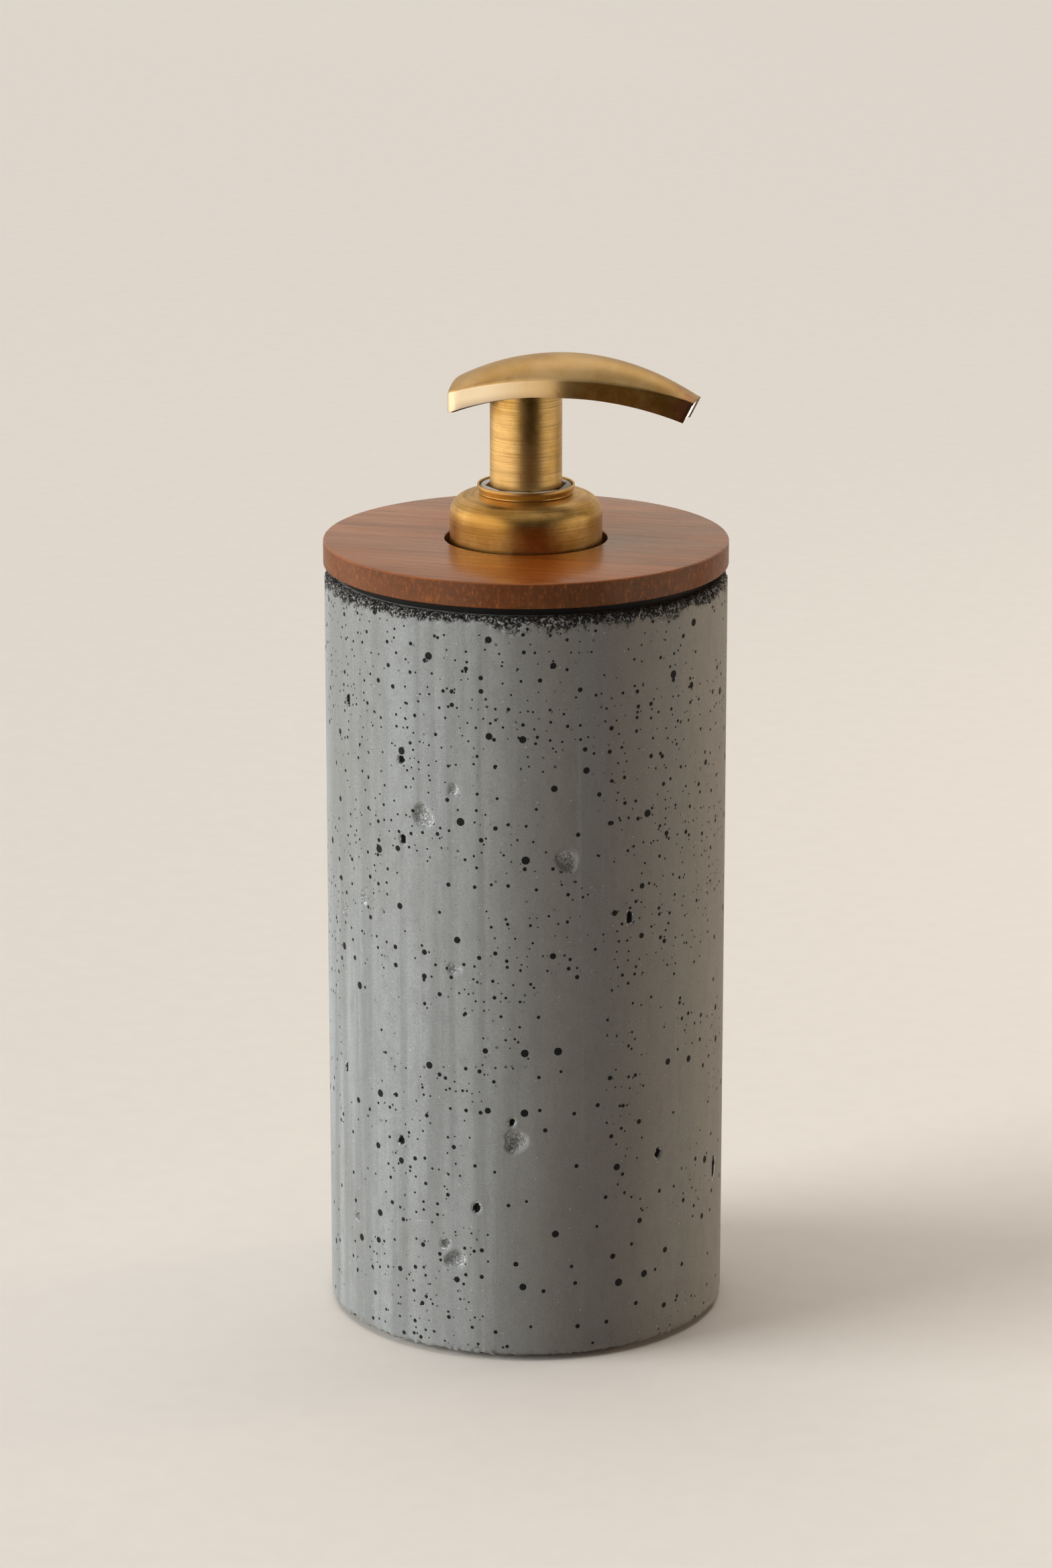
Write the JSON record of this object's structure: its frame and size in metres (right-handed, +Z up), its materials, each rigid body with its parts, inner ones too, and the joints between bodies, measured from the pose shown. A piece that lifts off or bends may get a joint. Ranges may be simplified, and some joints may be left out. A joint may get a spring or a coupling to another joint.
{
  "type": "soap pump dispenser",
  "caption": "Upright cylindrical soap dispenser: cast concrete sleeve, loose wooden lid and a brass-clad screw-on lotion pump with a swivelling spout over a removable liner bottle.",
  "frame": {"origin": "centre of the base pad's underside, on the vessel's axis", "axes": "+Z up along the vessel's and the pump's axis; the spout points along +X at rest"},
  "size_m": [0.0804, 0.0804, 0.1963],
  "materials": {
    "concrete": "fair-faced cast concrete with small air holes",
    "base_pad": "matte foot pad",
    "liner_plastic": "natural polyethylene",
    "lid_wood": "oiled, fine straight grain",
    "seal_rubber": "matte",
    "pump_plastic": "natural polypropylene",
    "collar_brass": "satin, lightly pitted",
    "gasket_foam": "soft foam",
    "guide_plastic": "satin, silver grey",
    "tube_plastic": "translucent",
    "ball_glass": "polished",
    "spring_steel": "drawn wire",
    "piston_plastic": "soft natural plastic",
    "head_brass": "satin with darker aged sides",
    "core_plastic": "dark moulded plastic",
    "nozzle_plastic": "pale outlet plastic",
    "sleeve_brass": "brushed around"
  },
  "bodies": {
    "dispenser": {"concrete_body": "concrete", "base_pad": "base_pad", "liner_bottle": "liner_plastic"},
    "lid": {"wooden_lid": "lid_wood", "lid_seal": "seal_rubber"},
    "pump_engine": {"pump_housing": "pump_plastic", "neck_gasket": "gasket_foam", "stem_guide": "guide_plastic", "dip_tube": "tube_plastic", "return_spring": "spring_steel"},
    "closure": {"closure_cap": "pump_plastic", "collar_shell": "collar_brass", "collar_ring": "collar_brass"},
    "piston": {"piston": "piston_plastic"},
    "head": {"pump_stem": "pump_plastic", "piston_rod": "pump_plastic", "stem_sleeve": "sleeve_brass", "actuator_core": "core_plastic", "head_shell": "head_brass", "nozzle_tip": "nozzle_plastic"},
    "inlet_ball": {"inlet_ball": "ball_glass"}
  },
  "joints": [
    {"name": "lid_lift", "type": "slide", "parent": "dispenser", "child": "lid", "axis": [0, 0, 1], "range_m": [0, 0.009]},
    {"name": "pump_rise", "type": "slide", "parent": "dispenser", "child": "pump_engine", "axis": [0, 0, 1], "range_m": [0, 0.00357]},
    {"name": "collar_turn", "type": "hinge", "parent": "pump_engine", "child": "closure", "pos_m": [0, 0, 0.16], "axis": [0, 0, 1], "range_deg": [0, 405]},
    {"name": "pump_stroke", "type": "slide", "parent": "pump_engine", "child": "piston", "axis": [0, 0, -1], "range_m": [0, 0.015], "stiffness_N_per_m": 600, "springref_m": -0.015, "deforming": ["return_spring"]},
    {"name": "head_swivel", "type": "hinge", "parent": "piston", "child": "head", "pos_m": [0, 0, 0.18], "axis": [0, 0, 1], "continuous": true},
    {"name": "inlet_ball_lift", "type": "slide", "parent": "pump_engine", "child": "inlet_ball", "axis": [0, 0, 1], "range_m": [0, 0.0024]}
  ],
  "couplings": [
    {"joint": "collar_turn", "follows": "pump_rise", "rad_per_m": 1979}
  ]
}
